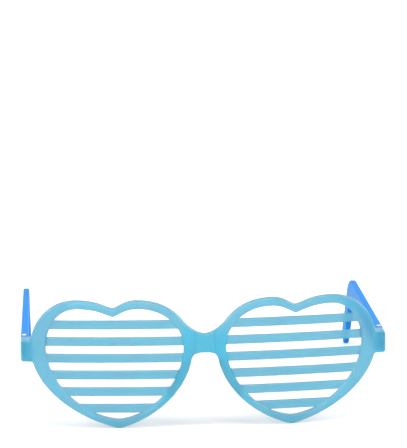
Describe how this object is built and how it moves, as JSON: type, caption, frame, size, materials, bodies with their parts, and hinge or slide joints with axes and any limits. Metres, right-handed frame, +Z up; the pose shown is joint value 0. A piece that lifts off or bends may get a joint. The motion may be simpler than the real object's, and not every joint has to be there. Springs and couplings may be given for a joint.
{
  "type": "slatted novelty glasses",
  "caption": "Heart-shaped slatted novelty glasses: a one-piece translucent front with level slats for lenses, and two hooked temples on pinned hinges.",
  "frame": {"origin": "on the surface that the open glasses stand on, in the middle of their length and width", "axes": "+X towards the wearer's left, +Y from the front back along the temples, +Z up"},
  "size_m": [0.1546, 0.151, 0.0549],
  "materials": {
    "front_plastic": "gloss",
    "temple_plastic": "gloss",
    "pin_steel": "satin"
  },
  "bodies": {
    "front": {"front_frame": "front_plastic"},
    "left_arm": {"left_temple": "temple_plastic", "left_hinge_pin": "pin_steel"},
    "right_arm": {"right_temple": "temple_plastic", "right_hinge_pin": "pin_steel"}
  },
  "joints": [
    {"name": "left_temple_fold", "type": "hinge", "parent": "front", "child": "left_arm", "pos_m": [0.0757, -0.05572, 0.033], "axis": [0, 0, 1], "range_deg": [0, 91.4]},
    {"name": "right_temple_fold", "type": "hinge", "parent": "front", "child": "right_arm", "pos_m": [-0.0757, -0.05572, 0.033], "axis": [0, 0, -1], "range_deg": [0, 88.6]}
  ]
}
